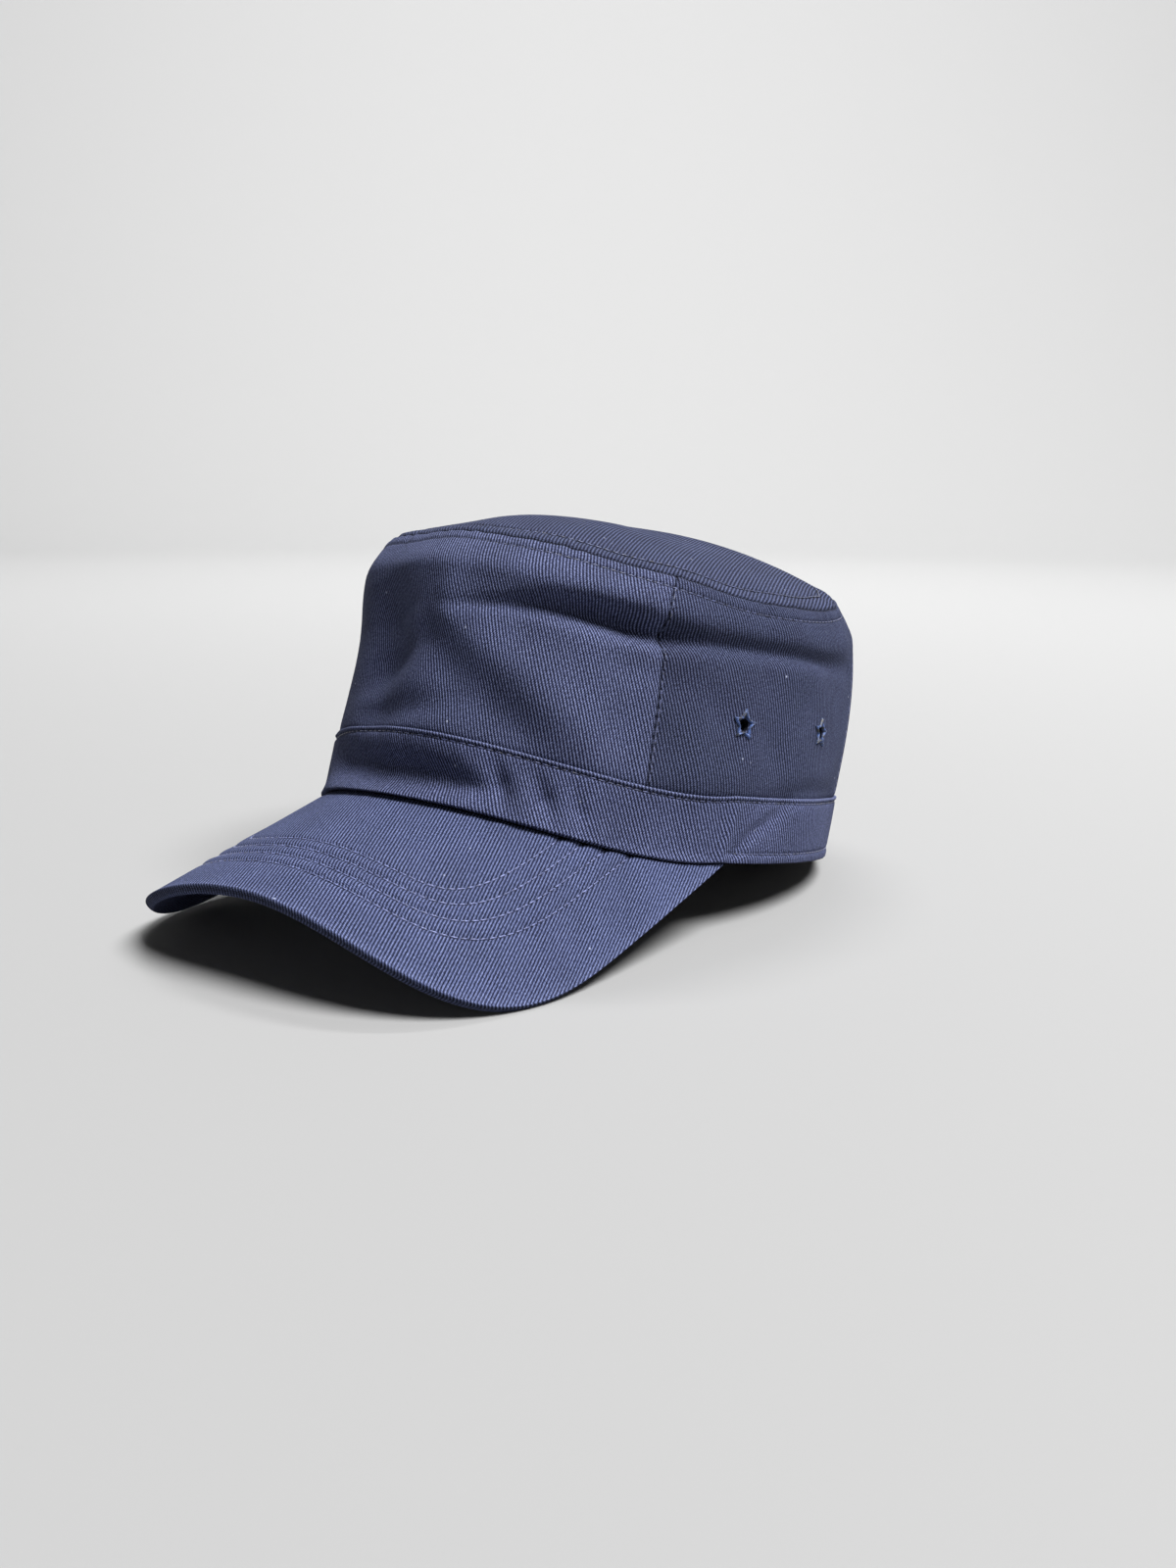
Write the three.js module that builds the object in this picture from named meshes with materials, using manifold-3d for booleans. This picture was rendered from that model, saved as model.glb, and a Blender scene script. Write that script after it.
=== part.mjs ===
// Cadet cap: a soft crown of four side panels and a domed top, an outer band and a curved visor.
// Sizes are millimetres and degrees. Up is +Z, the front looks along -Y and the wearer's left is +X.
// The cap is shaped upright and square to its rim, then leaned back to sit on its visor and rear rim.
import * as THREE from 'three';
import Module from 'manifold-3d';

// Cloth and seams
const clothThickness = 1.6;
const seamGap = 0.3;
const bandGap = 0.45;
const leanBack = 10.3;

// Crown sections
// Each row is an oval round the crown: its place up the wall, half sizes, how far back its centre
// sits, and its height as shares of the rim's wave and of the top seam's height plus a plain rise.
const sections = [
  { place: 0.00, halfWidth: 81.6, halfLength: 100.5, back: 0.0, rimShare: 1.00, seamShare: 0.00, rise: 0 },
  { place: 0.24, halfWidth: 80.4, halfLength: 102.6, back: 4.3, rimShare: 1.00, seamShare: 0.00, rise: 21 },
  { place: 0.86, halfWidth: 76.7, halfLength: 102.3, back: 9.6, rimShare: 0.12, seamShare: 0.86, rise: 0 },
  { place: 1.00, halfWidth: 74.2, halfLength: 87.2, back: 5.6, rimShare: 0.00, seamShare: 1.00, rise: 0 },
];
const [rimSection, bandSection, bulgeSection, seamSection] = sections;
const topCentre = 2;
const shoulderTurn = 1.4;

// Top seam and dome heights
const seamFront = 93.4;
const seamBack = 100.7;
const seamSide = 83.3;
const domeRise = 11;
const domeFullness = 3;

// Folds and dents
// Each row is a crease between two points on the wall, given by angle round from the front (positive
// to the wearer's left) and height above the rim plane. A positive push is a ridge, a negative a dent.
const folds = [
  { angle1: 5, height1: 73, angle2: 34, height2: 75, halfWidth: 5, push: -2.2 },
  { angle1: 34, height1: 75, angle2: 60, height2: 70, halfWidth: 5, push: -3.0 },
  { angle1: 60, height1: 70, angle2: 108, height2: 70, halfWidth: 5, push: -2.2 },
  { angle1: 4, height1: 67, angle2: 44, height2: 30, halfWidth: 9, push: 2.4 },
  { angle1: 0, height1: 60, angle2: 36, height2: 31, halfWidth: 6, push: -2.4 },
  { angle1: 3, height1: 59, angle2: -23, height2: 39, halfWidth: 6, push: -2.0 },
  { angle1: -27, height1: 32, angle2: 14, height2: 42, halfWidth: 5, push: -1.2 },
  { angle1: -80, height1: 82, angle2: -35, height2: 86, halfWidth: 13, push: 3.0 },
  { angle1: -112, height1: 70, angle2: -75, height2: 70, halfWidth: 6, push: -1.8 },
  { angle1: 130, height1: 78, angle2: 230, height2: 78, halfWidth: 7, push: -1.8 },
  { angle1: 85, height1: 25, angle2: 108, height2: 26, halfWidth: 4, push: -1.4 },
  { angle1: -20, height1: 17, angle2: 19, height2: 19, halfWidth: 4.5, push: -1.8 },
  { angle1: 74, height1: 5, angle2: 90, height2: 19, halfWidth: 4, push: -1.0 },
];

const foldsEnd = 1.4;

// Panels
// Each row is a side panel between two seam angles, with its mesh steps round.
const panels = [
  { name: 'crown_front', start: -52, end: 52, around: 30 },
  { name: 'crown_side_left', start: 52, end: 118, around: 16 },
  { name: 'crown_back', start: 118, end: 242, around: 22 },
  { name: 'crown_side_right', start: 242, end: 308, around: 16 },
];
const emergeEnd = 0.31;
const crownInset = 0.1;
const panelSteps = 12;
const topSteps = 5;

// Band
const bandRows = 5;

// Visor
const visorEndAngle = 72;
const visorSlope = 24.3;
const visorArch = 35.9;
const visorArchQuartic = 8.7;
const archHalfWidth = 80;
const visorHalfWidth = 78.1;
const visorWidestReach = 81.3;
const visorTipReach = 158.8;
const visorSquareness = { left: 3.05, right: 2.6 };
const visorRearPull = 0.43;
const visorThickness = 3.4;
const visorTuck = 3;
const visorNose = 1;
const visorSteps = 32;
const visorRows = 7;
const outlineSamples = 60;

// Star eyelets
const starAngles = [71.5, 98];
const starHeight = 43.4;
const starReach = 5;
const starValley = 3;
const starPoints = 5;
const starThickness = 0.8;
const ventRadius = 1.7;
const ventSides = 20;
const drillLength = 10;

// Resting flats
const flattened = 1.4;

// Materials
const crownColour = 0x3a4066;
const bandColour = 0x3d436a;
const visorColour = 0x4a5180;
const eyeletColour = 0x4e6aa6;
const clothFinish = { roughness: 0.9, metalness: 0 };
const threadFinish = { roughness: 0.5, metalness: 0 };

// Small steps that measure the surface's directions
const angleStep = 0.2;
const placeStep = 0.01;
const radians = THREE.MathUtils.degToRad;

// Crown surface
// Smooth reading of one column of the section table, with no overshoot between rows.
function column(name, place) {
  const last = sections.length - 1;
  const slopes = [];
  for (let row = 0; row < last; row += 1) {
    const step = sections[row + 1].place - sections[row].place;
    slopes.push((sections[row + 1][name] - sections[row][name]) / step);
  }
  const tangents = [slopes[0]];
  for (let row = 1; row < last; row += 1) {
    const [before, after] = [slopes[row - 1], slopes[row]];
    tangents.push(before * after > 0 ? (2 * before * after) / (before + after) : 0);
  }
  tangents.push(slopes[last - 1] * shoulderTurn);
  let row = 0;
  while (row < last - 1 && place > sections[row + 1].place) {
    row += 1;
  }
  const step = sections[row + 1].place - sections[row].place;
  const share = THREE.MathUtils.clamp((place - sections[row].place) / step, 0, 1);
  const ease = share * share * (3 - 2 * share);
  const start = sections[row][name];
  const end = sections[row + 1][name];
  const startPull = step * tangents[row] * share * (1 - share) * (1 - share);
  const endPull = step * tangents[row + 1] * share * share * (1 - share);
  return start + (end - start) * ease + startPull - endPull;
}

function straightColumn(name, place) {
  let row = 0;
  while (row < sections.length - 2 && place > sections[row + 1].place) {
    row += 1;
  }
  const step = sections[row + 1].place - sections[row].place;
  const share = (place - sections[row].place) / step;
  return THREE.MathUtils.lerp(sections[row][name], sections[row + 1][name], share);
}

function seamHeight(angle) {
  const forward = Math.cos(radians(angle));
  const lean = ((seamFront - seamBack) / 2) * forward;
  return seamSide + lean + ((seamFront + seamBack) / 2 - seamSide) * forward * forward;
}

function archDrop(across) {
  const share = (across / archHalfWidth) ** 2;
  return visorArch * share + visorArchQuartic * share * share;
}

function visorHeight(across, reach) {
  const endAcross = rimSection.halfWidth * Math.sin(radians(visorEndAngle));
  const endReach = rimSection.halfLength * Math.cos(radians(visorEndAngle));
  const fall = Math.tan(radians(visorSlope));
  return archDrop(endAcross) - archDrop(across) + (endReach - reach) * fall;
}

function rimHeight(angle) {
  const turn = Math.abs(THREE.MathUtils.euclideanModulo(angle + 180, 360) - 180);
  if (turn >= visorEndAngle) {
    return 0;
  }
  const across = rimSection.halfWidth * Math.sin(radians(turn));
  const reach = rimSection.halfLength * Math.cos(radians(turn));
  return visorHeight(across, reach);
}

// The unfolded outer surface. Places 0 to 1 climb the wall and 1 to 2 cross the top to its centre.
function smoothSurface(angle, place) {
  const wall = Math.min(place, 1);
  const shrink = place > 1 ? topCentre - place : 1;
  const across = column('halfWidth', wall) * Math.sin(radians(angle)) * shrink;
  const along = column('back', wall) - column('halfLength', wall) * Math.cos(radians(angle)) * shrink;
  const rimPart = straightColumn('rimShare', wall) * rimHeight(angle);
  const seamPart = straightColumn('seamShare', wall) * seamHeight(angle);
  const edgeHeight = rimPart + seamPart + straightColumn('rise', wall);
  const middle = (seamFront + seamBack) / 2;
  const height = middle + (edgeHeight - middle) * shrink + domeRise * (1 - shrink ** domeFullness);
  return new THREE.Vector3(across, along, height);
}

// The outward direction. Both sides of the top seam share the seam's own, so their edges stay parallel.
function outward(angle, place) {
  if (place > topCentre - placeStep) {
    return new THREE.Vector3(0, 0, 1);
  }
  const here = Math.abs(place - seamSection.place) < placeStep ? seamSection.place : place;
  const around = smoothSurface(angle + angleStep, here).sub(smoothSurface(angle - angleStep, here));
  const below = smoothSurface(angle, Math.max(here - placeStep, 0));
  const up = smoothSurface(angle, here + placeStep).sub(below);
  return around.cross(up).normalize();
}

// Push of all folds at a point: each is a soft ridge or dent round a straight crease on the wall.
function foldPush(angle, height) {
  const perDegree = radians((rimSection.halfWidth + rimSection.halfLength) / 2);
  let push = 0;
  for (const fold of folds) {
    const middle = (fold.angle1 + fold.angle2) / 2;
    const turn = middle + THREE.MathUtils.euclideanModulo(angle - middle + 180, 360) - 180;
    const run = (fold.angle2 - fold.angle1) * perDegree;
    const climb = fold.height2 - fold.height1;
    const fromStart = (turn - fold.angle1) * perDegree;
    const upStart = height - fold.height1;
    const share = (fromStart * run + upStart * climb) / (run * run + climb * climb);
    const nearest = THREE.MathUtils.clamp(share, 0, 1);
    const away = Math.hypot(fromStart - nearest * run, upStart - nearest * climb);
    push += fold.push * Math.exp(-((away / fold.halfWidth) ** 2));
  }
  return push;
}

// A point on the crown, set in from the outer surface.
function crownPoint(angle, place, inset) {
  const point = smoothSurface(angle, place);
  const fade = 1 - THREE.MathUtils.smoothstep(place, seamSection.place, foldsEnd);
  const push = foldPush(angle, point.z) * fade;
  return point.addScaledVector(outward(angle, place), push - inset);
}

// Resting flats
// The cloth is pressed flat where it would reach below the surface that the cap stands on.
const floorNormal = new THREE.Vector3(0, -Math.sin(radians(leanBack)), Math.cos(radians(leanBack)));
const floorHeight = flattened - rimSection.halfLength * Math.sin(radians(leanBack));

function pressed(point) {
  const below = floorHeight - floorNormal.dot(point);
  return below > 0 ? point.addScaledVector(floorNormal, below) : point;
}

// Solids from sections
// Joins closed section loops into one closed solid. Points that coincide are shared.
function loft(loops, closed) {
  const positions = [];
  const known = new Map();
  const indexOf = (point) => {
    const key = point.toArray().map((value) => value.toFixed(4)).join(' ');
    if (!known.has(key)) {
      known.set(key, positions.length / 3);
      positions.push(point.x, point.y, point.z);
    }
    return known.get(key);
  };
  const grid = loops.map((loop) => loop.map(indexOf));
  const faces = [];
  const addFace = (a, b, c) => {
    if (a !== b && b !== c && c !== a) {
      faces.push(a, b, c);
    }
  };
  const size = grid[0].length;
  const spans = closed ? grid.length : grid.length - 1;
  for (let span = 0; span < spans; span += 1) {
    const here = grid[span];
    const next = grid[(span + 1) % grid.length];
    for (let side = 0; side < size; side += 1) {
      const after = (side + 1) % size;
      addFace(here[side], next[side], next[after]);
      addFace(here[side], next[after], here[after]);
    }
  }
  if (!closed) {
    const [first, last] = [grid[0], grid[grid.length - 1]];
    for (let side = 0; side < Math.floor((size - 1) / 2); side += 1) {
      const [next, opposite, beforeOpposite] = [side + 1, size - 1 - side, size - 2 - side];
      addFace(first[side], first[next], first[opposite]);
      addFace(first[next], first[beforeOpposite], first[opposite]);
      addFace(last[side], last[opposite], last[next]);
      addFace(last[next], last[opposite], last[beforeOpposite]);
    }
  }
  const geometry = new THREE.BufferGeometry();
  geometry.setAttribute('position', new THREE.Float32BufferAttribute(positions, 3));
  geometry.setIndex(faces);
  geometry.computeVertexNormals();
  return geometry;
}

function steps(start, end, count) {
  return Array.from({ length: count + 1 }, (_, index) => THREE.MathUtils.lerp(start, end, index / count));
}

const cap = new THREE.Group();
cap.name = 'cap';
cap.rotation.x = -radians(leanBack);

function addPiece(name, geometry, colour, finish) {
  const mesh = new THREE.Mesh(geometry, new THREE.MeshStandardMaterial({ color: colour, ...finish }));
  mesh.name = name;
  cap.add(mesh);
  return mesh;
}

// Side panels
// Each panel tucks behind the band and comes out over it, and stops half a seam gap from its neighbours.
// Behind the band it follows the band's own rows, which keeps the gap between them even.
const seamTurn = 0.1;
const seamShare = 0.0012;
const tuckedRows = 2;
const bandPlaces = steps(rimSection.place, bandSection.place, bandRows);

function crownDepth(place) {
  const behindBand = clothThickness + bandGap;
  const out = THREE.MathUtils.smoothstep(place, bandSection.place, emergeEnd);
  return THREE.MathUtils.lerp(behindBand, crownInset, out);
}

function panelGeometry(panel) {
  const angles = steps(panel.start, panel.end, panel.around);
  angles[0] += seamTurn;
  angles[panel.around] -= seamTurn;
  const tucked = bandPlaces.slice(-tuckedRows);
  const places = [...tucked, ...steps(emergeEnd, 1 - seamShare, panelSteps)];
  const loops = angles.map((angle) => {
    const outer = places.map((place) => crownPoint(angle, place, crownDepth(place)));
    const inner = places.map((place) => crownPoint(angle, place, crownDepth(place) + clothThickness));
    return [...outer, ...inner.reverse()];
  });
  return loft(loops, false);
}

// Star eyelets
// A star-shaped ring of thread lies on the panel round each vent hole.
function starGeometry() {
  const outline = new THREE.Shape();
  for (let corner = 0; corner < 2 * starPoints; corner += 1) {
    const reach = corner % 2 === 0 ? starReach : starValley;
    const turn = Math.PI / 2 + (corner * Math.PI) / starPoints;
    const corners = [reach * Math.cos(turn), reach * Math.sin(turn)];
    if (corner === 0) {
      outline.moveTo(...corners);
    } else {
      outline.lineTo(...corners);
    }
  }
  outline.closePath();
  const hole = new THREE.Path();
  hole.absarc(0, 0, ventRadius, 0, 2 * Math.PI, true);
  outline.holes.push(hole);
  return new THREE.ExtrudeGeometry(outline, {
    depth: starThickness,
    bevelEnabled: false,
    curveSegments: ventSides,
  });
}

function placeAtHeight(angle, height) {
  const low = smoothSurface(angle, bandSection.place).z;
  const high = smoothSurface(angle, bulgeSection.place).z;
  const share = (height - low) / (high - low);
  return THREE.MathUtils.lerp(bandSection.place, bulgeSection.place, share);
}

// The turned place of a star: its own up follows the wall and its face looks out.
function starPlace(angle) {
  const place = placeAtHeight(angle, starHeight);
  const face = outward(angle, place);
  const climb = smoothSurface(angle, place + placeStep).sub(smoothSurface(angle, place));
  const sideways = climb.clone().cross(face).normalize();
  const up = face.clone().cross(sideways);
  const matrix = new THREE.Matrix4().makeBasis(sideways, up, face);
  return matrix.setPosition(crownPoint(angle, place, crownInset - seamGap));
}

// Vent holes
// The drill is cut through the panel where a star's hole is.
const wasm = await Module();
wasm.setup();

function toSolid(geometry) {
  const vertProperties = new Float32Array(geometry.getAttribute('position').array);
  const triVerts = new Uint32Array(geometry.getIndex().array);
  const mesh = new wasm.Mesh({ numProp: 3, vertProperties, triVerts });
  mesh.merge();
  return new wasm.Manifold(mesh);
}

function fromSolid(solid) {
  const mesh = solid.getMesh();
  const geometry = new THREE.BufferGeometry();
  geometry.setAttribute('position', new THREE.Float32BufferAttribute(mesh.vertProperties, mesh.numProp));
  geometry.setIndex(Array.from(mesh.triVerts));
  geometry.computeVertexNormals();
  return geometry;
}

function drilled(geometry, angles) {
  let solid = toSolid(geometry);
  for (const angle of angles) {
    const drill = new THREE.CylinderGeometry(ventRadius, ventRadius, drillLength, ventSides);
    drill.rotateX(Math.PI / 2);
    drill.applyMatrix4(starPlace(angle));
    solid = solid.subtract(toSolid(drill));
  }
  return fromSolid(solid);
}

for (const panel of panels) {
  const isLeft = panel.name === 'crown_side_left';
  const isRight = panel.name === 'crown_side_right';
  const vents = isLeft ? starAngles : isRight ? starAngles.map((angle) => -angle) : [];
  const geometry = panelGeometry(panel);
  addPiece(panel.name, vents.length ? drilled(geometry, vents) : geometry, crownColour, clothFinish);
}

const stars = [
  { name: 'eyelet_left_front', angle: starAngles[0] },
  { name: 'eyelet_left_back', angle: starAngles[1] },
  { name: 'eyelet_right_front', angle: -starAngles[0] },
  { name: 'eyelet_right_back', angle: -starAngles[1] },
];
for (const star of stars) {
  const mesh = addPiece(star.name, starGeometry(), eyeletColour, threadFinish);
  mesh.applyMatrix4(starPlace(star.angle));
}

// Crown top
// The oval top is one shell whose rings shrink to its centre.
const wayAround = panels.flatMap((panel) => steps(panel.start, panel.end, panel.around).slice(0, -1));
const topPlaces = steps(1 + seamShare, topCentre, topSteps);
const topLoops = wayAround.map((angle) => {
  const outer = topPlaces.map((place) => crownPoint(angle, place, crownInset));
  const inner = topPlaces.map((place) => crownPoint(angle, place, crownInset + clothThickness));
  return [...outer, ...inner.reverse()];
});
addPiece('crown_top', loft(topLoops, true), crownColour, clothFinish);

// Band
// The band stands on the visor in front and on the surface at the back.
const bandLoops = wayAround.map((angle) => {
  const outer = bandPlaces.map((place) => pressed(crownPoint(angle, place, 0)));
  const inner = bandPlaces.map((place) => pressed(crownPoint(angle, place, clothThickness)));
  return [...outer, ...inner.reverse()];
});
addPiece('band', loft(bandLoops, true), bandColour, clothFinish);

// Visor
// The outline in plan is a squared-off front half and a soft sweep back to the visor's end.
function visorOutline(squareness) {
  const outline = [];
  for (const turn of steps(0, Math.PI / 2, outlineSamples)) {
    const across = visorHalfWidth * Math.sin(turn) ** (2 / squareness);
    const swell = Math.max(Math.cos(turn), 0) ** (2 / squareness);
    outline.push(new THREE.Vector2(across, visorWidestReach + (visorTipReach - visorWidestReach) * swell));
  }
  const endAcross = rimSection.halfWidth * Math.sin(radians(visorEndAngle));
  const endReach = rimSection.halfLength * Math.cos(radians(visorEndAngle));
  const pull = visorWidestReach + (endReach - visorWidestReach) * visorRearPull;
  const sweep = new THREE.QuadraticBezierCurve(
    new THREE.Vector2(visorHalfWidth, visorWidestReach),
    new THREE.Vector2(visorHalfWidth, pull),
    new THREE.Vector2(endAcross, endReach),
  );
  outline.push(...sweep.getPoints(outlineSamples).slice(1));
  return outline;
}

// Points spaced evenly along half the outline, from the tip to the end.
function evenOutline(count, squareness) {
  const curve = new THREE.CurvePath();
  const outline = visorOutline(squareness);
  for (let index = 1; index < outline.length; index += 1) {
    curve.add(new THREE.LineCurve(outline[index - 1], outline[index]));
  }
  return steps(0, 1, count).map((share) => curve.getPointAt(share));
}

function visorNormal(across, reach) {
  const step = 0.5;
  const tilted = visorHeight(across + step, reach) - visorHeight(across - step, reach);
  const falling = visorHeight(across, reach + step) - visorHeight(across, reach - step);
  return new THREE.Vector3(-tilted, falling, 2 * step).normalize();
}

const halfSteps = visorSteps / 2;
const leftOutline = evenOutline(halfSteps, visorSquareness.left);
const rightOutline = evenOutline(halfSteps, visorSquareness.right);
const visorLoops = steps(-halfSteps, halfSteps, visorSteps).map((index) => {
  const side = Math.sign(index);
  const angle = (visorEndAngle * index) / halfSteps;
  const outline = side < 0 ? rightOutline : leftOutline;
  const edge = outline[Math.round(Math.abs(index))];
  const rim = new THREE.Vector2(Math.sin(radians(angle)), Math.cos(radians(angle)));
  const start = new THREE.Vector2(rimSection.halfWidth * rim.x, rimSection.halfLength * rim.y);
  const end = new THREE.Vector2(side * edge.x, edge.y);
  const top = [];
  const under = [];
  const level = rimHeight(angle) - seamGap;
  const tuck = start.clone().addScaledVector(rim.clone().normalize(), -visorTuck);
  const startNormal = visorNormal(start.x, start.y);
  const tucked = new THREE.Vector3(tuck.x, -tuck.y, level);
  top.push(tucked);
  under.push(tucked.clone().addScaledVector(startNormal, -visorThickness));
  for (const share of steps(0, 1, visorRows)) {
    const plan = start.clone().lerp(end, share);
    const point = new THREE.Vector3(plan.x, -plan.y, visorHeight(plan.x, plan.y) - seamGap);
    const normal = visorNormal(plan.x, plan.y);
    top.push(point);
    under.push(point.clone().addScaledVector(normal, -visorThickness));
  }
  const outermost = top[top.length - 1].clone().add(under[under.length - 1]).multiplyScalar(0.5);
  const reachOut = end.clone().sub(start).normalize();
  const nose = outermost.add(new THREE.Vector3(reachOut.x, -reachOut.y, 0).multiplyScalar(visorNose));
  return [...under, nose, ...top.reverse()].map(pressed);
});
addPiece('visor', loft(visorLoops, false), visorColour, clothFinish);

// Placing
// The origin is the middle of the cap's box on the surface that it stands on.
cap.updateMatrixWorld(true);
const box = new THREE.Box3().setFromObject(cap, true);
const centre = box.getCenter(new THREE.Vector3());
cap.position.set(-centre.x, -centre.y, -box.min.z);

const root = new THREE.Group();
root.name = 'cadet_cap';
root.add(cap);
export default root;
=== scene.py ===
"""Cadet cap in navy cotton twill: crown panels, domed top, outer band, curved visor and sewn star vents."""
import math

import bmesh
import bpy
import numpy as np
from mathutils import Matrix, Vector


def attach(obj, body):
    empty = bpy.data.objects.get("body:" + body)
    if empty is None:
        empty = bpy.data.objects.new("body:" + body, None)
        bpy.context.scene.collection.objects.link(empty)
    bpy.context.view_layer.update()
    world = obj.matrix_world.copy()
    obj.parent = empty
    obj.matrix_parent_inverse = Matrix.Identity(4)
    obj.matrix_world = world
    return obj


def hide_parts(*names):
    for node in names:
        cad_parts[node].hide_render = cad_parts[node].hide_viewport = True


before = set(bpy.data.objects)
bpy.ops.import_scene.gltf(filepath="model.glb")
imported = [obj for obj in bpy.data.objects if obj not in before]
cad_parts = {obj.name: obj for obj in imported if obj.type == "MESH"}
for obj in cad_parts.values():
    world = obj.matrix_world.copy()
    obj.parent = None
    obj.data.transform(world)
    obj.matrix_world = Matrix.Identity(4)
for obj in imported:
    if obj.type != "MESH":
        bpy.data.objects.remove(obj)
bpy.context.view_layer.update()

# Side panels
# Four soft panels of cotton twill stand round the head and lean back with the cap.
# They are sewn edge to edge, tucked into the band below and turned over at the top seam.

# Each row is an oval round the crown: its place up the wall, half sizes, how far back its centre
# sits, and its height as shares of the rim's wave and of the top seam's height plus a plain rise.
SECTION_NAMES = ("place", "half_width", "half_length", "back", "rim_share", "seam_share", "rise")
SECTIONS = np.array([
    (0.00, 81.6, 100.5, 0.0, 1.00, 0.00, 0),
    (0.24, 80.4, 102.6, 4.3, 1.00, 0.00, 21),
    (0.86, 76.7, 102.3, 9.6, 0.12, 0.86, 0),
    (1.00, 74.2, 87.2, 5.6, 0.00, 1.00, 0),
])
SECTION = {name: SECTIONS[:, index] for index, name in enumerate(SECTION_NAMES)}
rim_half_width = SECTION["half_width"][0]
rim_half_length = SECTION["half_length"][0]
band_place = SECTION["place"][1]
band_height = SECTION["rise"][1]
shoulder_turn = 1.4
seam_front, seam_back, seam_side = 93.4, 100.7, 83.3
seam_middle = (seam_front + seam_back) / 2
dome_rise, dome_fullness = 11.0, 3
top_centre = 2.0
cloth_thickness = 1.6

visor_end_angle = 72.0
visor_end_across = rim_half_width * math.sin(math.radians(visor_end_angle))
visor_end_reach = rim_half_length * math.cos(math.radians(visor_end_angle))
visor_slope = math.radians(24.3)
visor_arch, visor_arch_quartic, arch_half_width = 35.9, 8.7, 80.0

lean_back = math.radians(10.3)
flattened = 1.4
floor_drop = rim_half_length * math.sin(lean_back) - flattened
centre_shift = 17.437

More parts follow.
